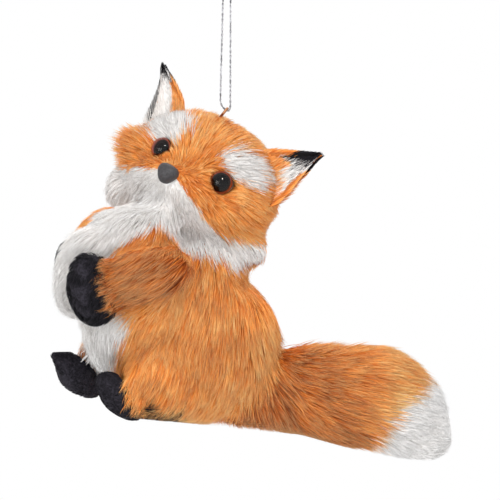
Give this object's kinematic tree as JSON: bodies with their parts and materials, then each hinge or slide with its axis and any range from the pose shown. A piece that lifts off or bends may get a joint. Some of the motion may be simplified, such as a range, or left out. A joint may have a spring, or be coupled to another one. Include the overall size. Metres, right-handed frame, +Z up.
{
  "type": "hanging fox ornament",
  "caption": "Furry seated fox ornament with tilted head, white chest, black paws and bushy tail, hanging on a twisted thread loop through a small screw eye.",
  "frame": {"origin": "middle of the knot that closes the thread loop, from which the ornament hangs", "axes": "+Z up along the hanging thread, +Y away from the viewer through the fox's narrow way, -X the way the fox heads"},
  "size_m": [0.1209, 0.0692, 0.1485],
  "materials": {
    "thread": "twisted metallic thread",
    "copper_wire": "polished copper-coloured wire",
    "ginger_fur": "long brushed fur",
    "white_fur": "long brushed fur",
    "black_suede": "short napped suede and fur",
    "clear_brown_eye": "clear brown gloss",
    "black_pupil": "black gloss",
    "nose_plastic": "matte pebbled",
    "pulp_core": "moulded paper pulp",
    "tail_padding": "moulded plastic",
    "steel_wire": "drawn wire",
    "dowel_wood": "plain wood"
  },
  "bodies": {
    "knot": {"cord_knot": "thread"},
    "loop": {"hanging_cord": "thread"},
    "fox": {"screw_eye": "copper_wire", "head_core": "pulp_core", "head_fur": "ginger_fur", "muzzle_fur": "white_fur", "cheek_left": "white_fur", "cheek_right": "white_fur", "brow_left": "white_fur", "brow_right": "white_fur", "ear_left": "ginger_fur", "ear_right": "ginger_fur", "ear_lining_left": "white_fur", "ear_lining_right": "white_fur", "eye_left": "clear_brown_eye", "eye_right": "clear_brown_eye", "eye_pupil_left": "black_pupil", "eye_pupil_right": "black_pupil", "nose": "nose_plastic", "neck_dowel": "dowel_wood", "body_core": "pulp_core", "body_fur": "ginger_fur", "chest_fur": "white_fur", "arm_left": "ginger_fur", "arm_right": "ginger_fur", "paw_left": "black_suede", "paw_right": "black_suede", "leg_left": "ginger_fur", "leg_right": "ginger_fur", "foot_left": "black_suede", "foot_right": "black_suede", "tail_wire": "steel_wire", "tail_core": "tail_padding", "tail_fur": "ginger_fur", "tail_tip": "white_fur"}
  },
  "joints": [
    {"name": "loop_twist", "type": "hinge", "parent": "knot", "child": "loop", "pos_m": [0, 0, 0], "axis": [0, 0, 1], "continuous": true},
    {"name": "fox_swing", "type": "hinge", "parent": "loop", "child": "fox", "pos_m": [0, 0, -0.04], "axis": [0, 1, 0], "range_deg": [-35, 35]}
  ]
}
